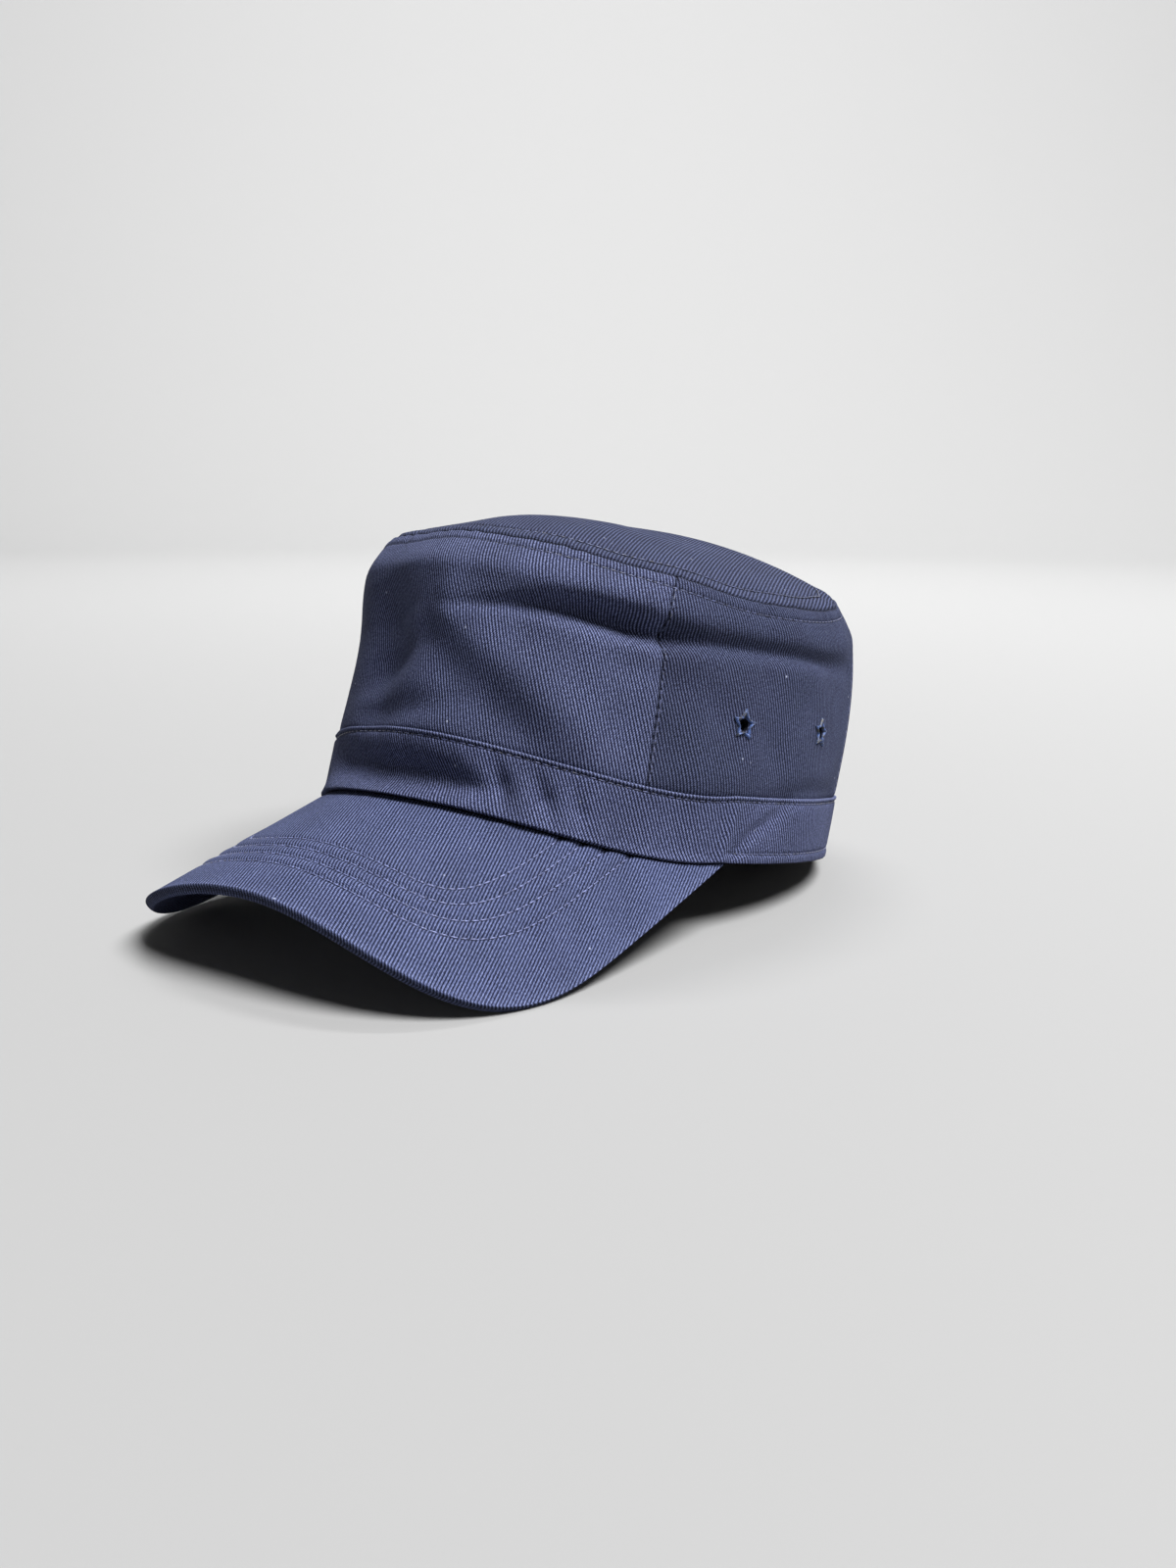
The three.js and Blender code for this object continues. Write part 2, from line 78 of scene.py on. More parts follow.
# Each fold is a line of points on the wall: the angle round from the front, the height above the rim
# plane, the half width there, and how far the cloth is pushed out or, when negative, dented in.
FOLDS = [
    # The long dent under the top edge, deepest in front of the left seam.
    [(0, 70, 2, -0.1), (8, 70.4, 2.2, -0.9), (18, 71.8, 2.6, -2.4), (27, 72.6, 3.4, -5.8),
     (36, 71.6, 4, -9.2), (45, 69.4, 4, -9.4), (52, 67.6, 3.8, -6), (62, 67.4, 3, -3.2),
     (80, 67.4, 2.8, -2.8), (96, 67, 2.6, -2.6), (112, 66.5, 4, -1)],
    # The full roll above that dent.
    [(-8, 83, 6, 0), (12, 81.5, 5, 0.1), (28, 81, 5, 0.5), (45, 78, 5, 1), (60, 75.5, 5, 0.9),
     (108, 75, 5, 0.7)],
    # The bright ridge that falls across the front panel.
    [(4, 68, 7, 0.8), (14, 59.5, 8, 2.6), (23, 51.5, 8.5, 3.4), (33, 40.5, 8.5, 2.8), (41, 30, 7, 1),
     (46, 23, 6, 0.2)],
    # The soft valley in front of that ridge.
    [(0, 61.5, 6, -1), (7, 52, 8, -1.9), (16, 43.5, 8, -1.6), (25, 34.5, 7, -0.9), (33, 26.5, 5, -0.2)],
    # The valley that leaves it for the wearer's right.
    [(0, 60.5, 5, -1), (-9, 53.5, 6.5, -2.6), (-20, 46, 6, -2.2), (-34, 37, 6, -0.4)],
    # A shallow dent lower on the front.
    [(-30, 31, 5, -0.4), (-16, 34.5, 5, -1.6), (-2, 37.5, 5, -1.9), (10, 41, 5, -0.8)],
    # The broad hollow where the front panel faces away, and the upright turn beside it.
    [(-20, 78, 13, -1.6), (-18, 65, 17, -6.2), (-17, 52, 16, -6.6), (-15, 38, 13, -3.6)],
    [(4, 85, 5, 0.3), (5, 76, 6, 1.2), (5, 67, 5, 0.9)],
    # The full front corner on the wearer's right.
    [(-95, 72, 12, 1.4), (-60, 73, 12, 2.0), (-40, 74, 12, 1.5), (-22, 76, 10, 0.4)],
    [(-62, 26, 18, 0.8), (-60, 70, 20, 1.0)],
    [(-114, 70, 6, -1.0), (-92, 69, 6, -2.2), (-72, 68, 6, -1.2)],
    # Dents round the back.
    [(124, 76, 6, -0.8), (150, 78, 7, -2.0), (205, 77, 7, -1.8), (236, 75, 6, -0.8)],
    [(146, 34, 8, -0.3), (158, 48, 8, -1.3), (166, 62, 8, -0.4)],
    [(192, 58, 8, -0.4), (206, 46, 8, -1.2), (218, 32, 8, -0.3)],
    [(252, 32, 7, -0.3), (266, 46, 7, -1.0), (278, 60, 7, -0.3)],
    # Small dents on the wearer's left side.
    [(43, 58, 5, -0.5), (50, 56.5, 5, -1.0), (57, 53, 6, -0.6)],
    [(60, 53, 6, -0.4), (65, 46, 7, -1.1), (69, 36, 6, -0.5)],
    [(76, 44, 5, -0.2), (81, 36, 6, -0.9), (84, 28, 5, -0.3)],
    [(54, 24, 7, 0.8), (62, 26, 8, 1.3), (70, 27, 7, 0.8)],
    [(80, 64, 6, 0.2), (92, 60, 6, 0.8), (104, 52, 6, 0.3)],
    [(80, 21, 3, -0.3), (87, 22, 3.6, -1.4), (98, 23.2, 4, -1.7), (110, 23, 4, -0.8)],
    # The hollow in the front of the band, and its lower edge that curls out again.
    [(-34, 19.5, 5, -0.8), (-22, 18, 5.6, -3.8), (-8, 18, 5.6, -5), (4, 18.2, 5.4, -5), (13, 17.2, 5, -4.4),
     (20, 15, 3.4, -1.6)],
    [(-30, 9, 4, 1), (-14, 10, 3.6, 2.2), (4, 10.5, 3.6, 2.6), (18, 11, 3.6, 2), (28, 9, 4.5, 1.6),
     (40, 6, 5, 1.4), (50, 3, 5, 0.3)],
    # Short upright puckers in the band.
    [(22, 24, 2.6, -0.8), (23.6, 18, 3, -2.8), (25.6, 10, 2.6, -0.8)],
    [(27.6, 20, 2.2, 0.2), (29, 14, 2.4, 1.0), (30, 8, 2.2, 0.3)],
    [(30.6, 22, 2.4, -0.5), (33, 14.5, 2.8, -2.4), (35.4, 7, 2.4, -0.7)],
    [(38.5, 18, 2, -0.3), (40, 12, 2.2, -1.4), (41, 6, 2, -0.4)],
    # The crease in the band behind the end of the visor.
    [(70.5, 2, 2, 0.6), (71.5, 10, 2, 1.0), (73, 18, 2, 0.4)],
    [(74.5, 4, 2.2, -0.9), (78, 9.5, 2.4, -1.3), (84, 15, 2.4, -1.1), (90, 20, 2.4, -0.5)],
]
# The folds fade out on the top, at this place.
folds_end = 1.4
# Each slow wave in the cloth: how often it goes round, its millimetres up for a radian, and its start.
SLACK_WAVES = ((5, 17, 0), (8, -11, 2), (13, 23, 4))
slack_depth = 0.3
around_per_degree = math.radians((rim_half_width + rim_half_length) / 2)


def column(name, place):
    """Reads one column of the section table smoothly, with no overshoot between rows."""
    knots, values = SECTION["place"], SECTION[name]
    steps = np.diff(knots)
    slopes = np.diff(values) / steps
    tangents = np.zeros(len(knots))
    tangents[0] = slopes[0]
    tangents[-1] = slopes[-1] * shoulder_turn
    for row in range(1, len(knots) - 1):
        before, after = slopes[row - 1], slopes[row]
        if before * after > 0:
            tangents[row] = 2 * before * after / (before + after)
    row = np.clip(np.searchsorted(knots, place, side="left") - 1, 0, len(steps) - 1)
    share = np.clip((place - knots[row]) / steps[row], 0, 1)
    ease = share * share * (3 - 2 * share)
    start_pull = steps[row] * tangents[row] * share * (1 - share) ** 2
    end_pull = steps[row] * tangents[row + 1] * share ** 2 * (1 - share)
    return values[row] + (values[row + 1] - values[row]) * ease + start_pull - end_pull


def arch_drop(across):
    share = (across / arch_half_width) ** 2
    return visor_arch * share + visor_arch_quartic * share ** 2


def visor_height(across, reach):
    arch = arch_drop(visor_end_across) - arch_drop(across)
    return arch + (visor_end_reach - reach) * math.tan(visor_slope)


def rim_height(angle):
    turn = np.radians(np.abs((angle + 180) % 360 - 180))
    height = visor_height(rim_half_width * np.sin(turn), rim_half_length * np.cos(turn))
    return np.where(turn < math.radians(visor_end_angle), height, 0.0)


def crown_surface(angle, place):
    """The unfolded outer surface: places 0 to 1 climb the wall, and 1 to 2 cross the top to its centre."""
    angle, place = np.broadcast_arrays(np.asarray(angle, float), np.asarray(place, float))
    wall = np.minimum(place, 1)
    shrink = np.where(place > 1, top_centre - place, 1.0)
    turn = np.radians(angle)
    forward = np.cos(turn)
    across = column("half_width", wall) * np.sin(turn) * shrink
    along = column("back", wall) - column("half_length", wall) * forward * shrink
    seam = seam_side + (seam_front - seam_back) / 2 * forward + (seam_middle - seam_side) * forward ** 2
    shares = [np.interp(wall, SECTION["place"], SECTION[name]) for name in SECTION_NAMES[4:]]
    edge = shares[0] * rim_height(angle) + shares[1] * seam + shares[2]
    height = seam_middle + (edge - seam_middle) * shrink + dome_rise * (1 - shrink ** dome_fullness)
    return np.stack([across, along, height], axis=-1)


def unit(vectors):
    return vectors / np.linalg.norm(vectors, axis=-1, keepdims=True)


def outward(angle, place):
    """Unit directions out of the cloth, measured over small steps."""
    angle, place = np.broadcast_arrays(np.asarray(angle, float), np.asarray(place, float))
    angle_step, place_step = 0.2, 0.01
    inner = np.minimum(place, top_centre - 3 * place_step)
    around = crown_surface(angle + angle_step, inner) - crown_surface(angle - angle_step, inner)
    up = crown_surface(angle, inner + place_step) - crown_surface(angle, np.maximum(inner - place_step, 0))
    return unit(np.cross(around, up))


def fold_push(angle, height):
    """How far the folds move the cloth out, each measured from the nearest point of its line."""
    push = np.zeros_like(height)
    for line in FOLDS:
        middle = (line[0][0] + line[-1][0]) / 2
        turn = middle + (angle - middle + 180) % 360 - 180
        nearest = np.full_like(height, np.inf)
        line_push = np.zeros_like(height)
        for begin, finish in zip(line[:-1], line[1:]):
            angle1, height1, width1, depth1 = begin
            angle2, height2, width2, depth2 = finish
            run, climb = (angle2 - angle1) * around_per_degree, height2 - height1
            from_start, up_start = (turn - angle1) * around_per_degree, height - height1
            share = np.clip((from_start * run + up_start * climb) / (run ** 2 + climb ** 2), 0, 1)
            away = np.hypot(from_start - share * run, up_start - share * climb)
            half_width = width1 + (width2 - width1) * share
            depth = depth1 + (depth2 - depth1) * share
            line_push = np.where(away < nearest, depth * np.exp(-(away / half_width) ** 2), line_push)
            nearest = np.minimum(nearest, away)
        push += line_push
    return push


def slack(angle, height):
    """Slow unevenness of soft cloth that stands by itself, in millimetres."""
    turn = np.radians(angle)
    waves = sum(np.sin(count * turn + height / climb + start) for count, climb, start in SLACK_WAVES)
    return slack_depth * waves


def cloth_points(angle, place, lift):
    """Points on the folded cloth, lifted from the outer surface by the given millimetres."""
    points = crown_surface(angle, place)
    height = points[..., 2]
    fade = 1 - np.clip((np.asarray(place) - 1) / (folds_end - 1), 0, 1) ** 2
    push = fold_push(angle, height) + slack(angle, height) * np.clip(np.asarray(place) / band_place, 0, 1)
    return points + outward(angle, place) * (push * fade + lift)[..., None]


def to_row(points):
    """Leans the cap back, presses it flat on the surface below and turns millimetres to metres."""
    x, y, z = points[..., 0], points[..., 1], points[..., 2]
    back = y * math.cos(lean_back) + z * math.sin(lean_back) + centre_shift
    up = np.maximum(z * math.cos(lean_back) - y * math.sin(lean_back) + floor_drop, 0)
    return np.stack([x, back, up], axis=-1) / 1000


def quads(a, b, c, d):
    """Four-cornered faces from four matching arrays of point numbers."""
    return np.stack([a.ravel(), b.ravel(), c.ravel(), d.ravel()], axis=1)


def smooth(mesh):
    mesh.polygons.foreach_set("use_smooth", np.ones(len(mesh.polygons), dtype=bool))


def add_object(name, data):
    """Puts a mesh, a light or a camera into the scene."""
    made = bpy.data.objects.new(name, data)
    bpy.context.scene.collection.objects.link(made)
    return made


def shell_faces(rows, columns, closed):
    """Faces of a shell between two grids of points, the outer grid first. A closed one goes all round."""
    outer = np.arange(rows * columns).reshape(rows, columns)
    if closed:
        outer = np.concatenate([outer, outer[:, :1]], axis=1)
    inner = outer + rows * columns
    faces = [
        quads(outer[:-1, :-1], outer[:-1, 1:], outer[1:, 1:], outer[1:, :-1]),
        quads(inner[:-1, :-1], inner[1:, :-1], inner[1:, 1:], inner[:-1, 1:]),
        quads(outer[0, :-1], inner[0, :-1], inner[0, 1:], outer[0, 1:]),
        quads(outer[-1, 1:], inner[-1, 1:], inner[-1, :-1], outer[-1, :-1]),
    ]
    if not closed:
        faces.append(quads(outer[1:, 0], inner[1:, 0], inner[:-1, 0], outer[:-1, 0]))
        faces.append(quads(outer[:-1, -1], inner[:-1, -1], inner[1:, -1], outer[1:, -1]))
    return np.concatenate(faces)


def shell_object(name, outer, inner, weave, rub_and_painted_shade, closed):
    """Makes a closed cloth shell from matching outer and inner grids, indexed by row and then column."""
    points = np.concatenate([to_row(outer).reshape(-1, 3), to_row(inner).reshape(-1, 3)])
    faces = shell_faces(*outer.shape[:2], closed)
    mesh = bpy.data.meshes.new(name)
    mesh.from_pydata(points.tolist(), [], faces.tolist())
    corner_vertex = np.zeros(len(mesh.loops), dtype=np.int32)
    mesh.loops.foreach_get("vertex_index", corner_vertex)
    flat_weave = np.tile(weave.reshape(-1, 2), (2, 1))[corner_vertex]
    if closed:
        # The last column's faces reach the first column, whose weave goes on by one whole turn.
        turn = weave[0, -1, 0] + (weave[0, 1, 0] - weave[0, 0, 0]) - weave[0, 0, 0]
        per_face = flat_weave.reshape(-1, 4, 2)
        spread = per_face[:, :, 0].max(axis=1) - per_face[:, :, 0].min(axis=1)
        low = per_face[:, :, 0] < per_face[:, :, 0].max(axis=1, keepdims=True) - turn / 2
        per_face[:, :, 0] += np.where((spread[:, None] > turn / 2) & low, turn, 0)
        flat_weave = per_face.reshape(-1, 2)
    mesh.uv_layers.new(name="weave").data.foreach_set("uv", flat_weave.astype(np.float32).ravel())
    # The attribute carries rubbed wear above zero and painted shade below zero.
    shade = mesh.attributes.new("rub_and_painted_shade", "FLOAT", "POINT")
    shade.data.foreach_set("value", np.tile(rub_and_painted_shade.ravel(), 2).astype(np.float32))
    smooth(mesh)
    mesh.update()
    return add_object(name, mesh)


def merge_doubles(made):
    """Joins points that fall together, as at a pole, and drops the edges that are left with no face."""
    together = 1e-6
    body = bmesh.new()
    body.from_mesh(made.data)
    bmesh.ops.remove_doubles(body, verts=body.verts, dist=together)
    bmesh.ops.delete(body, geom=[edge for edge in body.edges if not edge.link_faces], context="EDGES")
    body.to_mesh(made.data)
    body.free()


def linear(hex_colour):
    """Turns an sRGB hex colour to the linear values that the shaders take."""
    parts = [int(hex_colour[index:index + 2], 16) / 255 for index in (0, 2, 4)]
    return tuple(c / 12.92 if c <= 0.04045 else ((c + 0.055) / 1.055) ** 2.4 for c in parts) + (1.0,)


def node(tree, kind, inputs=None, **settings):
    """Adds a node with its settings, values and links."""
    made = tree.nodes.new(kind)
    for name, value in settings.items():
        setattr(made, name, value)
    for socket, value in (inputs or {}).items():
        if isinstance(value, bpy.types.NodeSocket):
            tree.links.new(value, made.inputs[socket])
        else:
            made.inputs[socket].default_value = value
    return made


# The real ribs are about 0.8 mm apart, too fine to show here, so they are drawn coarser.
rib_pitch = 1.08
yarn_slant, yarns_per_rib = 62, 1.9
fuzz_per_rib, clouds_per_rib = 1.5, 0.05
rib_share, yarn_share, fuzz_share = 0.65, 0.3, 1.3
relief_low, relief_high = 0.4, 1.85
relief_depth = 0.00035
lint_spacing, lint_colour = 11.0, "b9bfd6"
twill_finish = {
    "Roughness": 0.88, "IOR": 1.46, "Specular IOR Level": 0.12,
    "Sheen Weight": 0.05, "Sheen Roughness": 0.5, "Sheen Tint": linear("8f98c8"),
}


def new_material(name, finish):
    """A material with the given surface values, its node tree and its surface node."""
    material = bpy.data.materials.new(name)
    material.use_nodes = True
    surface = material.node_tree.nodes["Principled BSDF"]
    for socket, value in finish.items():
        surface.inputs[socket].default_value = value
    return material, material.node_tree, surface


def cotton_twill(name, ground, middle, rib, worn, lean):
    """Cotton twill: raised slanted ribs of lighter yarn over a dark ground, dry and slightly hairy."""
    material, tree, surface = new_material(name, twill_finish)
    weave = node(tree, "ShaderNodeUVMap", uv_map="weave").outputs["UV"]
    turned = node(tree, "ShaderNodeMapping", {
        "Vector": weave,
        "Rotation": (0, 0, math.radians(lean)),
        "Scale": (1 / rib_pitch, 1 / rib_pitch, 1),
    }).outputs["Vector"]
    # A wave texture's bands repeat every 2 pi / 20 of its scaled space, so this gives one band a rib.
    one_band = 2 * math.pi / 20
    bands = {"wave_type": "BANDS", "bands_direction": "X", "wave_profile": "SIN"}
    ribs = node(tree, "ShaderNodeTexWave", {
        "Vector": turned, "Scale": one_band, "Distortion": 0.9, "Detail": 2.0, "Detail Scale": 1.2,
    }, **bands).outputs["Fac"]
    slanted = node(tree, "ShaderNodeMapping", {
        "Vector": turned,
        "Rotation": (0, 0, math.radians(yarn_slant)),
        "Scale": (yarns_per_rib, yarns_per_rib, 1),
    }).outputs["Vector"]
    yarns = node(tree, "ShaderNodeTexWave", {
        "Vector": slanted, "Scale": one_band, "Distortion": 2.0, "Detail": 1.0, "Detail Scale": 2.0,
    }, **bands).outputs["Fac"]
    fuzz = node(tree, "ShaderNodeTexNoise", {
        "Vector": turned, "Scale": fuzz_per_rib, "Detail": 3.0, "Roughness": 0.7,
    }).outputs["Fac"]
    clouds = node(tree, "ShaderNodeTexNoise", {
        "Vector": turned, "Scale": clouds_per_rib, "Detail": 3.0, "Roughness": 0.55,
    }).outputs["Fac"]
    relief = 0.0
    for layer, share in ((ribs, rib_share), (yarns, yarn_share), (fuzz, fuzz_share)):
        relief = node(tree, "ShaderNodeMath", {
            0: layer, 1: share, 2: relief,
        }, operation="MULTIPLY_ADD").outputs[0]
    level = node(tree, "ShaderNodeMapRange", {
        "Value": relief, "From Min": relief_low, "From Max": relief_high,
    }).outputs["Result"]
    ramp = node(tree, "ShaderNodeValToRGB", {"Fac": level})
    ramp.color_ramp.elements[0].color = linear(ground)
    ramp.color_ramp.elements[0].position = 0.2
    ramp.color_ramp.elements[1].color = linear(rib)
    ramp.color_ramp.elements[1].position = 0.9
    ramp.color_ramp.elements.new(0.5).color = linear(middle)
    cloud_level = node(tree, "ShaderNodeMapRange", {
        "Value": clouds, "From Min": 0.3, "From Max": 0.7, "To Min": 0.86, "To Max": 1.12,
    }).outputs["Result"]
    # The attribute holds rubbed wear above zero, which mixes in the worn colour, and painted shade below
    # zero, which darkens the colour.
    rub_and_painted_shade = node(tree, "ShaderNodeAttribute", attribute_name="rub_and_painted_shade").outputs["Fac"]
    rub = node(tree, "ShaderNodeMath", {0: rub_and_painted_shade, 1: level}, operation="MULTIPLY", use_clamp=True).outputs[0]
    hollow = node(tree, "ShaderNodeMapRange", {
        "Value": rub_and_painted_shade, "From Min": -1.0, "From Max": 0.0, "To Min": 0.12, "To Max": 1.0,
    }).outputs["Result"]
    specks = node(tree, "ShaderNodeTexVoronoi", {
        "Vector": weave, "Scale": 1 / lint_spacing,
    }).outputs["Distance"]
    lint = node(tree, "ShaderNodeMapRange", {
        "Value": specks, "From Min": 0.02, "From Max": 0.045, "To Min": 0.45, "To Max": 0.0,
    }).outputs["Result"]
    # Faded clouds, rubbed ribs, painted shade in grooves and on the turned edge, and lint go over the
    # yarns' colours in turn.
    layers = (
        (1.0, cloud_level, "MULTIPLY"), (rub, linear(worn), "MIX"),
        (1.0, hollow, "MULTIPLY"), (lint, linear(lint_colour), "MIX"),
    )
    coloured = ramp.outputs["Color"]
    for share, layer, blend in layers:
        coloured = node(tree, "ShaderNodeMix", {
            0: share, 6: coloured, 7: layer,
        }, data_type="RGBA", blend_type=blend).outputs[2]
    bump = node(tree, "ShaderNodeBump", {
        "Height": relief, "Strength": 0.6, "Distance": relief_depth,
    }).outputs["Normal"]
    tree.links.new(coloured, surface.inputs["Base Color"])
    tree.links.new(bump, surface.inputs["Normal"])
    return material


# Each row is a side panel: the seam angles that it lies between, how far its ribs lean from upright,
# and the middle and rib colours of its yarns.
# The side and back panels' middle and rib colours are darker than the front's, as painted shade, though all
# are one cloth.
PANELS = [
    ("crown_front", -52, 52, -22, "292d47", "70789a"),
    ("crown_side_left", 52, 118, -20, "1f2339", "575e7a"),
    ("crown_back", 118, 242, -22, "1f2339", "575e7c"),
    ("crown_side_right", 242, 308, -20, "1f2339", "575e7c"),
]
crown_ground, crown_worn = "06070f", "7a82aa"
# Columns stand close together beside a seam and evenly between, all in degrees.
seam_turn = 0.03
seam_columns = np.array([0, 0.25, 0.5, 0.8, 1.2])
open_start, column_step = 1.7, 0.62
seam_row, top_seam_row = 4.6, 6.6
# Each relief beside a seam is its height, below zero for a hollow, and its half width in millimetres.
seam_ditch, seam_groove, seam_welt = (-0.6, 0.7), (-0.35, 0.6), (0.3, 2.75)
side_ditch, side_welt, side_welt_place = (-0.45, 0.7), (0.2, 2.5), 3
# Each shade is painted shade along a seam's ditch, stitch groove or side seam: its strength, below zero for
# darker cloth, and its half width.
ditch_shade, row_shade, side_shade = (-0.8, 0.6), (-0.7, 0.45), (-0.4, 0.5)
PUCKER_COUNTS = (41, 53, 67, 83, 97)
seam_puckers, pucker_depth, pucker_reach = 3, 0.28, 7.0
shoulder_angle, shoulder_spread, shoulder_fullness = -28, 32, 1.2
wall_shoulder_reach = 9
band_edge_thickness, behind_gap = 0.8, 0.2
crown_inset = 0.1
# Places up the wall, and how far in the panels lie at each of them.
crown_depths = ((0.24, 0.25, 0.28, 0.42), (band_edge_thickness + behind_gap, 0.55, 0.3, crown_inset))
dense_drop, dense_rows, open_rows, fine_rows = 8.0, 20, 62, 641
panel_foot = 0.2
foot_places = (0.262, 0.253, 0.246, 0.2395, 0.22, panel_foot)


def swell(distance, height, half_width):
    """A soft ridge along a line, or a hollow when its height is below zero."""
    return height * np.exp(-(distance / half_width) ** 2)


def puckers(angle, seed):
    """Uneven ripples that a sewn seam draws into the cloth beside it, about one high and one deep."""
    draw = np.random.default_rng(seed)
    ripple = np.zeros_like(angle, dtype=float)
    for count in PUCKER_COUNTS:
        ripple += draw.uniform(0.5, 1) * np.sin(np.radians(angle) * count + draw.uniform(0, 2 * math.pi))
    return ripple / 3


def wall_rows(angles):
    """Places up the wall for every column, close together near the top seam, and their drops from it."""
    fine = np.linspace(panel_foot, 1, fine_rows)
    near = np.linspace(0, dense_drop, dense_rows)
    places, drops = [], []
    for angle in angles:
        points = crown_surface(angle, fine)
        lengths = np.linalg.norm(np.diff(points, axis=0), axis=1)
        drop = np.concatenate([np.cumsum(lengths[::-1])[::-1], [0]])
        foot_drops = np.interp(foot_places, fine, drop)
        far = np.linspace(dense_drop, foot_drops[0], open_rows)[1:-1]
        wanted = np.concatenate([near, far, foot_drops])[::-1]
        drops.append(wanted)
        places.append(np.interp(wanted, drop[::-1], fine[::-1]))
    return np.array(places).T, np.array(drops).T


def crown_depth(place):
    """How far the panels lie inside the outer surface, behind the band and above it."""
    return np.interp(place, crown_depths[0], crown_depths[1])


def shoulder(angle):
    """Extra fullness of the top edge over the wearer's right front, in millimetres."""
    turn = (angle - shoulder_angle + 180) % 360 - 180
    return swell(turn, shoulder_fullness, shoulder_spread)


def seam_relief(lift, drops, angles, row, groove, shoulder_reach):
    """Adds to a lift what the sewn top seam does to the cloth on one side of it."""
    lift = lift + swell(drops, *seam_ditch) + swell(drops - row, *groove)
    lift = lift + swell(drops - seam_row / 2, *seam_welt)
    lift = lift + swell(drops, pucker_depth * puckers(angles, seam_puckers), pucker_reach)
    return lift + swell(drops, shoulder(angles), shoulder_reach)


crown_pieces = []
for name, start, end, lean, shade, rib in PANELS:
    inner_angles = np.linspace(start + open_start, end - open_start, int((end - start) / column_step))
    angles = np.concatenate([
        start + seam_turn + seam_columns, inner_angles, (end - seam_turn - seam_columns)[::-1],
    ])
    places, drops = wall_rows(angles)
    grid_angle = np.broadcast_to(angles, places.shape)
    from_side = np.minimum(grid_angle - start, end - grid_angle) * around_per_degree
    lift = seam_relief(-crown_depth(places), drops, grid_angle, seam_row, seam_groove, wall_shoulder_reach)
    lift = lift + swell(from_side, *side_ditch) + swell(from_side - side_welt_place, *side_welt)
    outer = cloth_points(grid_angle, places, lift)
    inner = cloth_points(grid_angle, places, -crown_depth(places) - cloth_thickness)
    weave = np.stack([(grid_angle - start) * around_per_degree, -drops], axis=-1)
    # Painted shade darkens the panels along the top seam's ditch, its stitch groove and the side seams.
    rub_and_painted_shade = swell(drops, *ditch_shade) + swell(drops - seam_row, *row_shade) + swell(from_side, *side_shade)
    panel = shell_object(name + "_cloth", outer, inner, weave, rub_and_painted_shade, False)
    panel.data.materials.append(cotton_twill(name + "_twill", crown_ground, shade, rib, crown_worn, lean))
    crown_pieces.append((panel, name))

# Vent holes
# A round hole goes through each side panel at every star, two a side.
# It is cut through the cloth before the star is sewn round it.
star_angles = (71.5, 98.0)
star_height = 43.4
vent_radius, vent_sides, drill_length = 2.0, 28, 12.0


def star_place(angle):
    """The star's centre and its sideways, up and outward directions on the cloth, in the row's frame."""
    places = np.linspace(band_place, SECTION["place"][2], 200)
    heights = crown_surface(angle, places)[:, 2]
    place = float(np.interp(star_height, heights, places))
    angle_step, place_step = 1.2, 0.015
    cross_angles = angle + angle_step * np.array([0, 1, -1, 0, 0])
    cross_places = place + place_step * np.array([0, 0, 0, 1, -1])
    centre, after, before, above, below = cloth_points(cross_angles, cross_places, -crown_inset)
    climb = above - below
    face = unit(np.cross(after - before, climb))
    sideways = unit(np.cross(climb, face))
    up = np.cross(face, sideways)
    origin = to_row(centre)
    turned = [to_row(centre + direction) - origin for direction in (sideways, up, face)]
    matrix = Matrix.Identity(4)
    for axis, direction in enumerate(turned):
        matrix.col[axis][:3] = Vector(direction * 1000)
    matrix.col[3][:3] = Vector(origin)
    return matrix


def keep_modified(made):
    """Keeps what an object's modifiers make as a plain mesh."""
    evaluated = made.evaluated_get(bpy.context.evaluated_depsgraph_get())
    modified = bpy.data.meshes.new_from_object(evaluated)
    made.modifiers.clear()
    made.data = modified


def drill_vents(panel, angles):
    """Cuts the vent holes through a panel."""
    drill_mesh = bpy.data.meshes.new("vent_drill")
    solid = bmesh.new()
    for angle in angles:
        bmesh.ops.create_cone(
            solid, cap_ends=True, segments=vent_sides, depth=drill_length / 1000,
            radius1=vent_radius / 1000, radius2=vent_radius / 1000, matrix=star_place(angle),
        )
    solid.to_mesh(drill_mesh)
    solid.free()
    drill = add_object("vent_drill", drill_mesh)
    cut = panel.modifiers.new("vents", "BOOLEAN")
    cut.operation = "DIFFERENCE"
    cut.solver = "EXACT"
    cut.object = drill
    keep_modified(panel)
    bpy.data.objects.remove(drill)


for panel, name in crown_pieces:
    if name == "crown_side_left":
        drill_vents(panel, star_angles)
    if name == "crown_side_right":
        drill_vents(panel, [-angle for angle in star_angles])
    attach(panel, "root")
    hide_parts(name)

# Crown top
# One oval of the same twill, a little domed, sewn to the side panels round its edge.
# Its seam allowance is turned in and stitched down, which lifts a soft welt along the edge.
top_columns = 420
# Distances in from the seam, and the number of rows from each to the next.
top_stops, top_rows = (0, 9, 72), (22, 52)
edge_gap, near_centre, last_ring = 0.0004, 1.999, 0.995
# The top's row shade is painted shade along its stitch groove.
top_groove, top_row_shade = (-0.35, 0.84), (-0.85, 0.7)
top_shoulder_reach = 14
# Two slow waves cross on the top: each one's millimetres for a radian across and along, and its start.
TOP_WAVES = ((17, 41, 0), (-60, 23, 1))
top_slack, slack_start = 0.6, 25
# The top's middle and rib colours are darker than the front panel's, as painted shade.
top_colours, top_lean = (crown_ground, "20243a", "525974", crown_worn), -26


def even_steps(stops, counts):
    """Values from each stop to the next in even steps, with every stop once."""
    spans = zip(stops[:-1], stops[1:], counts)
    return np.concatenate([stops[:1], *(np.linspace(low, high, count)[1:] for low, high, count in spans)])


